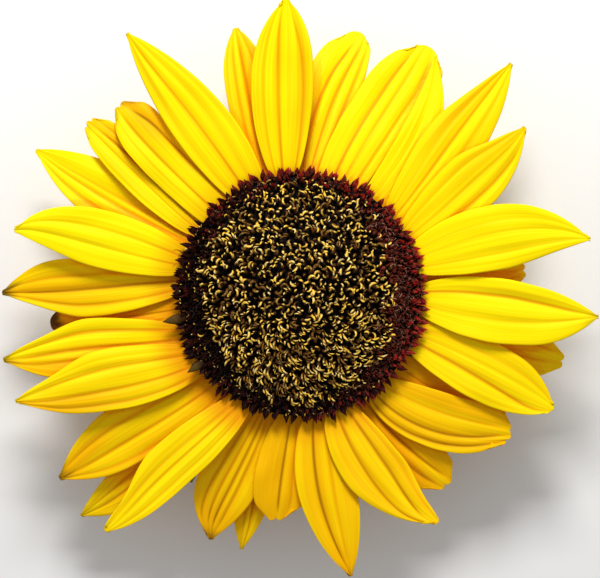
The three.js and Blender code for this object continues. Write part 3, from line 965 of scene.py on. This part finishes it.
@dataclass
class PetalRing:
    """All the ray petals, each a sheet of its own on its layer."""

    bench: Bench
    columns: int = 44
    rows: int = 64
    crowding: float = 1.3
    thickness: float = 0.4
    root_radius: float = 27.5
    browned: Span = (0.86, 1.0)
    # Painted shade at the petals' roots: its strength, and where along it fades out
    root_shade: float = 0.35
    root_shade_span: Span = (0.30, 0.02)
    dim_side: float = 225.0
    phase_step: float = 1.37
    seed_step: float = 0.73
    sky_rings: tuple[tuple[float, int], ...] = ((20.0, 8), (45.0, 6), (72.0, 4))
    sky_reach: float = 26.0
    box_margin: float = 4.0
    ray_lift: float = 0.05
    shapes: list[bmesh.types.BMesh] = field(default_factory=list)

    def shape(self, petal: Petal, number: int) -> bmesh.types.BMesh:
        """Lays a grid on a petal's surface.

        Args:
            petal: the petal.
            number: its number, from 1.

        Returns:
            The upper surface in millimetres, with its colour values, painted shade among them, on its
            vertices.
        """
        bm = bmesh.new()
        bm.loops.layers.uv.new("UVMap")
        names = ("seed", "tone_and_shade", "brown_tip_and_shade", "shade", "fold")
        seed, tone_and_shade, brown_tip_and_shade, shade, fold = (bm.verts.layers.float.new(name) for name in names)
        bmesh.ops.create_grid(bm, x_segments=self.columns, y_segments=self.rows, size=1.0, calc_uvs=True)
        root = (self.root_radius - LAYERS.disc_radius) / (petal.reach - LAYERS.disc_radius)
        phase = number * self.phase_step
        # Painted shade at the root, next to the disc, strongest on the dim side
        root_shade = self.root_shade + self.root_shade * math.cos(math.radians(petal.rim - self.dim_side))
        for vertex in bm.verts:
            u = -vertex.co.x
            t = (vertex.co.y + 1) / 2
            s = root + (1 - root) * (1 - (1 - t) ** self.crowding)
            browned = smoothstep(*self.browned, s + 0.05 * noise.noise(Vector((phase, u * 3.0, s * 4.0))))
            vertex.co = petal.point(u, s, phase)
            vertex[seed] = number * self.seed_step
            vertex[tone_and_shade] = TONE_AND_SHADE.get(number, USUAL_TONE_AND_SHADE) + sum(p.share(number, u, s) for p in SHADE_PATCHES)
            vertex[shade] = root_shade * smoothstep(*self.root_shade_span, s)
            # How deep in a fold, which sets the painted shade along the folds
            vertex[fold] = petal.fold_shade(u, s)
            vertex[brown_tip_and_shade] = BROWN_TIPS_AND_SHADE.get(number, 0.0) * browned
        return bm

    def sky(self) -> list[tuple[Vector, float]]:
        """Spreads directions over the upper half of the sky.

        Returns:
            The directions, each with its share of the light.
        """
        found = []
        for elevation, count in self.sky_rings:
            tilt = math.radians(elevation)
            for k in range(count):
                azimuth = 2 * math.pi * (k + 0.5) / count
                found.append((polar(math.cos(tilt), azimuth, math.sin(tilt)), math.sin(tilt) / count))
        total = sum(share for _, share in found)
        return [(direction, share / total) for direction, share in found]

    def shade(self, cover: list[BVHTree]) -> None:
        """Darkens each vertex by how much of the sky the other pieces hide from it.

        Args:
            cover: the pieces other than petals that may stand over a petal.
        """
        trees = [BVHTree.FromBMesh(bm) for bm in self.shapes]
        boxes = [self.box(bm) for bm in self.shapes]
        sky = self.sky()
        lift = Vector((0, 0, self.ray_lift))
        for own, bm in enumerate(self.shapes):
            layer = bm.verts.layers.float["shade"]
            near = cover + [tree for k, tree in enumerate(trees)
                            if k != own and self.close(boxes[own], boxes[k])]
            for vertex in bm.verts:
                start = vertex.co + lift
                hidden = sum(share for direction, share in sky if any(
                    tree.ray_cast(start, direction, self.sky_reach)[0] for tree in near))
                vertex[layer] = max(hidden, vertex[layer])
        LOG.info("petals shaded under %d directions", len(sky))

    @staticmethod
    def box(bm: bmesh.types.BMesh) -> tuple[Vector, Vector]:
        """Measures a shape.

        Args:
            bm: the shape.

        Returns:
            Its lowest and its highest corner.
        """
        places = [vertex.co for vertex in bm.verts]
        return (Vector(min(p[k] for p in places) for k in range(3)),
                Vector(max(p[k] for p in places) for k in range(3)))

    def close(self, first: tuple[Vector, Vector], second: tuple[Vector, Vector]) -> bool:
        """Returns whether two boxes lie close enough to shade each other."""
        return all(a[0][k] - self.box_margin < b[1][k]
                   for a, b in ((first, second), (second, first)) for k in (0, 1))

    def build(self, cover: list[BVHTree]) -> None:
        """Makes the petals as pieces, shaded by each other and by the cover.

        Args:
            cover: the pieces other than petals that may stand over a petal.
        """
        self.shapes = [self.shape(petal, k) for k, petal in enumerate(PETALS, 1)]
        self.shade(cover)
        material = PetalFinish().material()
        for k, bm in enumerate(self.shapes, 1):
            name = f"ray_petal_{k:02d}"
            thicken(self.bench.piece(bm, f"{name}_sheet", material, name, PETAL_SLOT), self.thickness)


class Stamps:
    """The forms that the disc is stamped with, a few variants of each."""

    blade: Girths = (0.40, 0.60, 0.60, 0.44, 0.22, 0.02)
    small_blade: Girths = (0.34, 0.48, 0.44, 0.26, 0.02)
    calyx: Girths = (0.40, 0.56, 0.60, 0.34)
    star_blade: Girths = (0.24, 0.34, 0.24, 0.02)
    thread: Girths = (0.08, 0.12, 0.12, 0.10, 0.03)
    tube: Girths = (0.36, 0.42, 0.50, 0.54, 0.34)
    rolled: Girths = (0.14, 0.26, 0.34, 0.36, 0.30, 0.08)
    straight: Girths = (0.14, 0.24, 0.29, 0.30, 0.24, 0.06)
    chaff: Girths = (0.8, 1.25, 1.1, 0.65, 0.04)
    withered: Girths = (0.22, 0.30, 0.26, 0.2, 0.16, 0.04)

    def side_lobe(self, length: float, bend: float, start: float, turn: float) -> Shoot:
        """Returns a small lobe that stands on one side of a large one."""
        root = (0, math.copysign(0.5, turn), 0.1)
        return Shoot(length, bend, self.small_blade, start, sides=6, flat=0.4, turn=turn, root=root)

    @cached_property
    def lobes(self) -> list[bpy.types.Mesh]:
        """Makes pointed lobes that lie flat and point up the stamp.

        Returns:
            A single lobe, twice as likely as the others, a pair and a fan.
        """
        lone = stamp("lobe", Shoot(2.8, -0.4, self.blade, 0.1, sides=6, flat=0.38))
        pair = stamp("lobes", Shoot(2.8, -0.5, self.blade, 0.1, sides=6, flat=0.38, turn=0.2),
                     self.side_lobe(2.0, -0.7, 0.3, -0.7))
        fan = stamp("fan", Shoot(2.5, -0.3, self.blade, sides=6, flat=0.38),
                    self.side_lobe(2.0, -0.9, 0.35, 0.8), self.side_lobe(2.2, -0.6, 0.3, -0.6))
        return [lone, lone, pair, fan]

    @cached_property
    def buds(self) -> list[bpy.types.Mesh]:
        """Makes buds whose pointed lobes part into a star.

        Returns:
            Three, by number of lobes, opening and length.
        """
        found = []
        for lobes, opening, length in ((5, 0.7, 1.5), (4, 0.95, 1.7), (5, 0.4, 1.3)):
            shoots = [Shoot(1.4, 0.1, self.calyx, sides=6)]
            for k in range(lobes):
                turn = 2 * math.pi * k / lobes
                root = (0.3 * math.cos(turn), 0.3 * math.sin(turn), 0.9)
                shoots.append(Shoot(length, -0.6, self.star_blade, opening, sides=4, flat=0.45,
                                    turn=turn, root=root))
            found.append(stamp("bud", *shoots))
        return found

    @cached_property
    def threads(self) -> list[bpy.types.Mesh]:
        """Makes pairs of thin curled threads that lie over a bud.

        Returns:
            Three, by the turns of their threads.
        """
        root = (0.3, 0.2, 1.3)
        return [stamp("threads", *[Shoot(2.1, 2.3, self.thread, 0.2, sides=4, turn=turn, root=root)
                                   for turn in turns])
                for turns in ((0.3, 2.1), (1.4, 4.0), (3.1, 5.2))]

    @cached_property
    def tubes(self) -> list[bpy.types.Mesh]:
        """Returns slender anther tubes with a blunt crown, by their bend."""
        return [stamp("tube", Shoot(2.9, bend, self.tube, sides=6)) for bend in (0.15, -0.35, 0.45)]

    @cached_property
    def curled(self) -> list[bpy.types.Mesh]:
        """Makes stigmas that roll back.

        Returns:
            Seven, by curl, length, first tilt, number of lobes and sway.
        """
        forms = ((1.0, 2.4, 0.7, 2, 2.0), (1.3, 3.0, 0.6, 1, 3.0), (0.9, 3.2, 0.7, 1, -2.6),
                 (1.1, 1.4, 0.7, 1, 1.2), (0.8, 1.0, 0.2, 2, 0.0), (1.4, 2.7, 0.5, 2, -1.8),
                 (2.6, 2.8, 0.4, 1, 2.2))
        return [stamp("curled stigma", *[
            Shoot(length * (1 - 0.25 * k), curl, self.rolled, start, flat=0.6, turn=2.5 * k, sway=sway)
            for k in range(lobes)]) for curl, length, start, lobes, sway in forms]

    @cached_property
    def paired(self) -> list[bpy.types.Mesh]:
        """Makes stigmas of two lobes that lean the same way.

        Returns:
            Three, by gap, length and first tilt.
        """
        forms = ((0.75, 2.4, 0.4), (1.0, 2.0, 0.2), (0.6, 2.9, 0.6))
        return [stamp("paired stigma", *[
            Shoot(length * (1 + 0.2 * sign), 1.3, self.straight, start, flat=0.7, turn=0.25 * sign,
                  root=(0, sign * gap / 2, 0), sway=1.1)
            for sign in (-1, 1)]) for gap, length, start in forms]


@dataclass(frozen=True)
class CrownRow:
    """A row of lobes round the rim: their number, distance from the axis, lift, lean and size."""

    count: int
    radius: float
    lift: float
    lean: float
    size: float


@dataclass
class FloretDisc:
    """The dome of florets: gold-tipped open ones inside, buds round them and a crown of pointed lobes."""

    bench: Bench
    radius: float = 33.4
    edge_radius: float = 32.4
    dome_steps: int = 16
    turn_steps: int = 96
    base: float = 29.625
    edge: float = 31.275
    crown: float = 6.4
    crown_power: float = 2.2
    floret_length: float = 4.3
    lowest: float = 30.05
    florets: int = 1400
    field_radius: float = 32.0
    apex_lean: float = 0.05
    edge_lean: float = 0.6
    sizes: Span = (0.85, 1.08)
    smallest: float = 0.55
    gold_centre: Pair = (-0.4, 1.3)
    gold_radii: Pair = (23.6, 28.9)
    gold_edge: Span = (1.12, 0.9)
    stigma_girths: Span = (0.46, 1.02)
    calm_side: Span = (2.0, -10.0)
    cluster_scale: float = 0.24
    apex: Pair = (0.3, -3.8)
    crown_rows: tuple[CrownRow, ...] = (
        CrownRow(84, 32.1, 0.2, 1.45, 1.1), CrownRow(88, 31.7, 0.5, 1.25, 1.05),
        CrownRow(84, 30.7, 0.8, 1.0, 1.0), CrownRow(78, 29.7, 1.1, 0.8, 0.95))
    lit_side: float = 35.0
    draw: random.Random = field(default_factory=lambda: random.Random(41))
    stamps: Stamps = field(default_factory=Stamps)

    def top(self, radius: float) -> float:
        """Returns the height that the florets reach."""
        return self.edge + self.crown * (1 - min(1.0, radius / self.radius) ** self.crown_power)

    def floor(self, radius: float) -> float:
        """Returns the height of the dome that the florets stand on."""
        return max(self.lowest, self.top(radius) - self.floret_length)

    def scatter(self, most: float) -> float:
        """Returns a random number between -most and most."""
        return self.draw.uniform(-most, most)

    def openness(self, place: Vector) -> float:
        """Finds how open the florets are at a place.

        Args:
            place: the place.

        Returns:
            1 in the middle, falling to 0 among the buds.
        """
        x = (place.x - self.gold_centre[0]) / self.gold_radii[0]
        y = (place.y - self.gold_centre[1]) / self.gold_radii[1]
        return smoothstep(*self.gold_edge, math.hypot(x, y))

    def lit_red(self, azimuth: float) -> float:
        """Returns how red the buds are at an azimuth, the most on the lit side, with scatter: their own red,
        brightened there by painted light.
        """
        side = 0.5 + 0.5 * math.cos(azimuth - math.radians(self.lit_side))
        return clamp(1.15 * side ** 1.5 - 0.1 + self.scatter(0.3))

    def dome(self) -> bmesh.types.BMesh:
        """Turns the dark dome from its outline.

        Returns:
            The closed dome.
        """
        rings = [self.edge_radius * k / self.dome_steps for k in range(self.dome_steps + 1)]
        outline = [(radius, self.floor(radius)) for radius in rings]
        outline += [(self.edge_radius - 0.2, self.base + 0.1), (30.0, self.base), (0.0, self.base)]
        return turned(tuple(outline), self.turn_steps)

    def rim(self) -> bmesh.types.BMesh:
        """Sets the rows of pointed lobes that crown the rim.

        Returns:
            All the lobes.
        """
        bm = bmesh.new()
        for row in self.crown_rows:
            offset = self.draw.uniform(0, 1)
            for k in range(row.count):
                azimuth = 2 * math.pi * (k + offset + self.scatter(0.4)) / row.count
                place = polar(row.radius + self.scatter(0.35), azimuth, self.lowest + row.lift)
                tilt = row.lean + self.scatter(0.15)
                direction = polar(math.sin(tilt), azimuth + self.scatter(0.35), math.cos(tilt))
                # The lobes' red is partly painted light, brightest on the lit side
                Setting(place, direction, self.scatter(0.4), row.size * self.draw.uniform(0.7, 1.1),
                        self.lit_red(azimuth)).press(bm, self.draw.choice(self.stamps.lobes))
        return bm

    def scraps(self) -> bmesh.types.BMesh:
        """Sets the few dry chaff tips and withered curls that stick out past the crown.

        Returns:
            All of them.
        """
        bm = bmesh.new()
        tip = stamp("chaff", Shoot(5.6, -0.3, self.stamps.chaff, sides=6, flat=0.3))
        for azimuth, height, size, tint in ((191.1, 31.2, 1.15, 0.1), (214.6, 31.0, 1.0, 0.0)):
            turn = math.radians(azimuth)
            Setting(polar(31.2, turn, height), polar(1.0, turn, 0.12), 0.0, size, tint).press(bm, tip)
        curl = stamp("curl", Shoot(4.6, 1.9, self.stamps.withered, -0.5, flat=0.6))
        for azimuth, swing, spin, size in ((159.0, 0.7, 1.4, 0.8), (161.5, -0.5, 2.2, 1.0),
                                           (165.0, 0.3, 0.9, 0.7)):
            turn = math.radians(azimuth)
            Setting(polar(32.6, turn, 31.1), polar(0.95, turn + swing, 0.3), spin, size, 1.0).press(bm, curl)
        return bm

    def off_apex(self, place: Vector) -> Vector:
        """Returns the way from the apex to a place, seen from above."""
        return Vector((place.x - self.apex[0], place.y - self.apex[1]))

    def spot(self, k: int) -> Setting:
        """Finds where a floret stands in the spirals that a disc grows in.

        Args:
            k: the floret's number, from 0 in the middle.

        Returns:
            Its setting, which leans away from the apex.
        """
        radius = self.field_radius * math.sqrt((k + 0.5) / self.florets)
        place = polar(radius, k * GOLDEN_ANGLE, self.floor(radius))
        place += Vector((self.scatter(0.3), self.scatter(0.3), 0))
        off = self.off_apex(place)
        lean = self.apex_lean + self.edge_lean * (off.length / self.radius) ** 1.1 + self.scatter(0.15)
        direction = polar(math.sin(lean), math.atan2(off.y, off.x) + self.scatter(0.25), math.cos(lean))
        size = clamp((self.top(radius) - place.z) / self.floret_length, self.smallest)
        size *= self.draw.uniform(*self.sizes)
        return Setting(place, direction, self.draw.uniform(0, 2 * math.pi), size)

    def set_bud(self, spot: Setting, azimuth: float, shapes: Shapes) -> None:
        """Sets a bud, with threads over it on the red side and now and then a small stigma elsewhere.

        Args:
            spot: where the floret stands.
            azimuth: the way that it lies from the apex, in radians.
            shapes: the shapes of the pieces, by name.
        """
        # The buds' red is partly painted light, brightest on the lit side
        red = self.lit_red(azimuth)
        bud = replace(spot, size=1.3 * spot.size, tint=red)
        bud.press(shapes["floret_buds"], self.draw.choice(self.stamps.buds))
        if self.draw.random() < 0.25 + 0.45 * red:
            thread = spot.raised(0.8, size=1.2 * spot.size, tint=red * self.draw.random())
            thread.press(shapes["bud_threads"], self.draw.choice(self.stamps.threads))
        if red < 0.3 and self.draw.random() < 0.5:
            stigma = spot.raised(1.9, size=0.5, tint=0.8 * self.draw.random())
            stigma.press(shapes["stigmas"], self.draw.choice(self.stamps.curled))

    def set_open(self, spot: Setting, north: float, shapes: Shapes) -> None:
        """Sets an open floret: its anther tube, and a stigma over it whose gold comes in clusters.

        Args:
            spot: where the floret stands.
            north: how far past the apex it lies, towards +Y.
            shapes: the shapes of the pieces, by name.
        """
        tube = replace(spot, tint=self.draw.random())
        tube.press(shapes["anther_tubes"], self.draw.choice(self.stamps.tubes))
        calm = self.draw.random() < 0.1 + 0.6 * smoothstep(*self.calm_side, north)
        turn = self.scatter(1.1) if calm else spot.spin
        where = Vector((spot.root.x * self.cluster_scale, spot.root.y * self.cluster_scale, 3.0))
        tint = clamp(0.52 + 0.95 * noise.noise(where) + self.scatter(0.55))
        girth = self.draw.uniform(*self.stigma_girths) * spot.size ** 0.5
        stigma = spot.raised(2.6, spin=turn, size=girth, tint=tint)
        stigma.press(shapes["stigmas"], self.draw.choice(self.stamps.paired if calm else self.stamps.curled))

    def field_of_florets(self) -> Shapes:
        """Sets all the florets of the field, buds or open ones.

        Returns:
            The buds, their threads, the tubes and the stigmas, by name.
        """
        shapes = {name: bmesh.new() for name in ("floret_buds", "bud_threads", "anther_tubes", "stigmas")}
        for k in range(self.florets):
            spot = self.spot(k)
            off = self.off_apex(spot.root)
            if self.draw.random() >= self.openness(spot.root):
                self.set_bud(spot, math.atan2(off.y, off.x), shapes)
            else:
                self.set_open(spot, off.y, shapes)
        return shapes

    def build(self) -> list[BVHTree]:
        """Makes the disc's pieces.

        Returns:
            The pieces that stand over the petals, for their shading.
        """
        shapes = {"floret_dome": self.dome(), "crown_lobes": self.rim()}
        cover = [BVHTree.FromBMesh(bm) for bm in shapes.values()]
        shapes |= self.field_of_florets()
        shapes["dry_scraps"] = self.scraps()
        for finish in FLORET_FINISHES:
            self.bench.piece(shapes[finish.name], finish.name, finish.material(), DISC_NODE, DISC_SLOT)
        return cover


FLORET_FINISHES = (
    # The dome is near black: its own dark colour, with painted shade of the deep gaps between the florets
    FloretFinish("floret_dome", (0.003, 0.001, 0.001, 1), (0.004, 0.002, 0.002, 1),
                 (0.004, 0.002, 0.002, 1)),
    FloretFinish("crown_lobes", (0.010, 0.001, 0.001, 1), (0.016, 0.003, 0.002, 1),
                 (0.42, 0.014, 0.012, 1), glints=0.55, glint=(0.16, 0.07, 0.03, 1)),
    FloretFinish("floret_buds", (0.005, 0.001, 0.001, 1), (0.009, 0.004, 0.002, 1),
                 (0.20, 0.022, 0.014, 1), glints=0.55, glint=(0.20, 0.10, 0.045, 1)),
    FloretFinish("bud_threads", (0.02, 0.01, 0.008, 1), (0.03, 0.018, 0.014, 1),
                 (0.36, 0.19, 0.12, 1), reach=0.6),
    FloretFinish("anther_tubes", (0.004, 0.002, 0.001, 1), (0.012, 0.006, 0.002, 1),
                 (0.09, 0.036, 0.008, 1)),
    FloretFinish("stigmas", (0.22, 0.075, 0.004, 1), (0.14, 0.066, 0.014, 1),
                 (1.0, 0.62, 0.055, 1), reach=0.5, glints=0.8, glint=(1.0, 0.84, 0.42, 1), mottle=1.5),
    FloretFinish("dry_scraps", (0.03, 0.012, 0.004, 1), (0.075, 0.045, 0.007, 1),
                 (0.42, 0.09, 0.01, 1), reach=0.5),
)


@dataclass(frozen=True)
class Rank:
    """A rank of bracts: the first one's azimuth, their reach, width and layer, and how their tips rise."""

    azimuth: float
    reach: float
    width: float
    layer: float
    curl: float


@dataclass(frozen=True)
class Bract:
    """One bract: its rank, its azimuth in radians, its own reach and a phase that differs for each."""

    rank: Rank
    turn: float
    reach: float
    phase: float
    root: float = 26.0
    rim_share: float = 0.9
    widest: float = 0.16
    narrowest: float = 0.25
    keel: float = 0.55
    vein: float = 0.08
    ripple: float = 0.35

    def point(self, u: float, t: float) -> Vector:
        """Finds a point of the upper surface.

        Args:
            u: place across, from -1 to 1.
            t: place along, from 0 at the root to 1 at the tip.

        Returns:
            The point in millimetres.
        """
        radius = self.root + t * (self.reach - self.root)
        s = (radius - LAYERS.disc_radius) / (self.reach - LAYERS.disc_radius)
        share = width_share(s, self.rim_share, self.widest, Tip.ACUMINATE)
        across = max(self.narrowest, self.rank.width * share)
        keel = self.keel * (1 - abs(u)) * max(0.0, 1 - s)
        vein = self.vein * math.cos(15 * u) * max(0.0, 1 - s)
        ripple = self.ripple * abs(u) ** 3 * math.sin(7 * s + self.phase)
        out = max(0.0, s) ** 2
        height = LAYERS.height(radius, self.rank.layer) - keel + vein + ripple + self.rank.curl * out
        height += 0.5 * math.sin(self.phase) * out
        return polar(radius, self.turn + u * across / 2 / radius, height)


@dataclass
class GreenSide:
    """The receptacle's cup with its boss, three ranks of bracts round it and the stub of the stalk."""

    bench: Bench
    rows: int = 22
    columns: int = 10
    thickness: float = 0.55
    in_rank: int = 13
    ranks: tuple[Rank, ...] = (
        Rank(73.3, 60.5, 13.5, -1.4, -1.5), Rank(83.4, 53.5, 14.0, -2.9, -3.0),
        Rank(62.0, 47.0, 12.5, -4.4, -4.5))
    cup: Outline = (
        (0, 9.2), (8.6, 9.2), (11.2, 10.6), (14, 12.2), (18, 13.8), (22, 15.4), (25.5, 16.9), (28.6, 18.6),
        (31, 20.1), (32.6, 21.4), (32.6, 23.3), (27.2, 23.4), (27.2, 29.3), (0, 29.3))
    cup_steps: int = 96
    stub: Outline = (
        (0, 0), (8.5, 0), (8.6, 0.3), (8.1, 3.0), (7.9, 5.0), (8.3, 7.5), (9.6, 10.8), (0, 10.8))
    stub_steps: int = 120
    ribs: int = 10
    rib_height: float = 0.028
    draw: random.Random = field(default_factory=lambda: random.Random(7))

    def bracts(self) -> bmesh.types.BMesh:
        """Lays a grid on each bract's surface.

        Returns:
            The bracts' upper surfaces.
        """
        bm = bmesh.new()
        bm.loops.layers.uv.new("UVMap")
        seed = value_layer(bm, "seed")
        for rank in self.ranks:
            for k in range(self.in_rank):
                bract = Bract(rank, math.radians(rank.azimuth + 360 * k / self.in_rank),
                              rank.reach - 1 + math.cos(2.4 * k), self.draw.uniform(0, 6))
                grid = bmesh.ops.create_grid(bm, x_segments=self.columns, y_segments=self.rows,
                                             size=1.0, calc_uvs=True)
                for vertex in grid["verts"]:
                    vertex.co = bract.point(-vertex.co.x, (vertex.co.y + 1) / 2)
                    vertex[seed] = bract.phase
        return bm

    def ribbed_stub(self) -> bmesh.types.BMesh:
        """Turns the stub, from its cut face up into the cup, and ribs it.

        Returns:
            The closed stub.
        """
        bm = turned(self.stub, self.stub_steps)
        for vertex in bm.verts:
            swell = 1 + self.rib_height * math.cos(self.ribs * math.atan2(vertex.co.y, vertex.co.x))
            vertex.co.x *= swell
            vertex.co.y *= swell
        return bm

    def build(self) -> None:
        """Makes the green pieces."""
        green = GreenFinish().material()
        skin = StalkFinish().material(self.bench.axis)
        blades = self.bench.piece(self.bracts(), "bract_blades", green, GREEN_NODE, GREEN_SLOT)
        thicken(blades, self.thickness)
        cup = turned(self.cup, self.cup_steps)
        cup.loops.layers.uv.new("UVMap")
        value_layer(cup, "seed")
        self.bench.piece(cup, "receptacle_cup", green, GREEN_NODE, GREEN_SLOT)
        self.bench.piece(self.ribbed_stub(), "stalk_stub", skin, GREEN_NODE, GREEN_SLOT)


@dataclass
class Studio:
    """The floor, the light and the camera that looks straight down on the head, in metres."""

    axis: Vector
    pixel: float = 0.269 * MM
    image_width: int = 600
    axis_below_centre: float = 6.0
    petal_plane: float = 0.027
    camera_height: float = 0.75
    sensor: float = 36.0
    floor_half: float = 1.6
    floor_colour: Colour = (0.86, 0.86, 0.86, 1)
    key_place: Triple = (-0.02, 0.37, 0.40)
    key_side: float = 0.16
    key_watts: float = 2.75
    key_colour: Triple = (1.0, 0.99, 0.96)
    sky_colour: Colour = (1.0, 1.0, 1.0, 1)
    sky_strength: float = 0.45

    def floor(self) -> None:
        """Makes the floor."""
        bm = bmesh.new()
        bmesh.ops.create_grid(bm, x_segments=1, y_segments=1, size=self.floor_half)
        mesh = bpy.data.meshes.new("floor")
        bm.to_mesh(mesh)
        bm.free()
        shader = Shader("pale floor", Roughness=0.9, Specular_IOR_Level=0.1, Base_Color=self.floor_colour)
        mesh.materials.append(shader.material)
        floor = bpy.data.objects.new("floor", mesh)
        bpy.context.scene.collection.objects.link(floor)

    def light(self) -> None:
        """Makes the square key light, which faces the head, and the sky."""
        lamp = bpy.data.lights.new("key", "AREA")
        lamp.size, lamp.energy, lamp.color = self.key_side, self.key_watts, self.key_colour
        made = bpy.data.objects.new("key", lamp)
        made.location = self.key_place
        made.rotation_euler = (-Vector(self.key_place)).to_track_quat("-Z", "Y").to_euler()
        bpy.context.scene.collection.objects.link(made)
        world = bpy.data.worlds.new("soft light")
        world.use_nodes = True
        sky = world.node_tree.nodes["Background"]
        sky.inputs["Color"].default_value = self.sky_colour
        sky.inputs["Strength"].default_value = self.sky_strength
        bpy.context.scene.world = world

    def camera(self) -> None:
        """Makes the camera, with a pixel of the photo's size on the plane of the petals."""
        lens = bpy.data.cameras.new("camera")
        lens.sensor_width = self.sensor
        lens.lens = self.sensor * (self.camera_height - self.petal_plane) / (self.pixel * self.image_width)
        camera = bpy.data.objects.new("camera", lens)
        camera.location = (self.axis.x, self.axis.y + self.axis_below_centre * self.pixel, self.camera_height)
        scene = bpy.context.scene
        scene.collection.objects.link(camera)
        scene.camera = camera
        scene.view_settings.view_transform = "Standard"

    def build(self) -> None:
        """Makes the floor, the light and the camera."""
        self.floor()
        self.light()
        self.camera()


def stalk_axis(frame: dict) -> Vector:
    """Returns the middle of the stalk's cut face, where the head's axis meets the ground."""
    foot = [v.co for v in frame["nodes"][GREEN_NODE].data.vertices if v.co.z < 0.01 * MM]
    return Vector((sum(p.x for p in foot) / len(foot), sum(p.y for p in foot) / len(foot), 0.0))


def main() -> None:
    """Builds the head round the frame, in order."""
    logging.basicConfig(level=logging.INFO, format="%(message)s")
    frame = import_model()
    axis = stalk_axis(frame)
    bench = Bench(axis)
    Studio(axis).build()
    cover = FloretDisc(bench).build()
    PetalRing(bench).build(cover)
    GreenSide(bench).build()


if __name__ == "__main__":
    main()
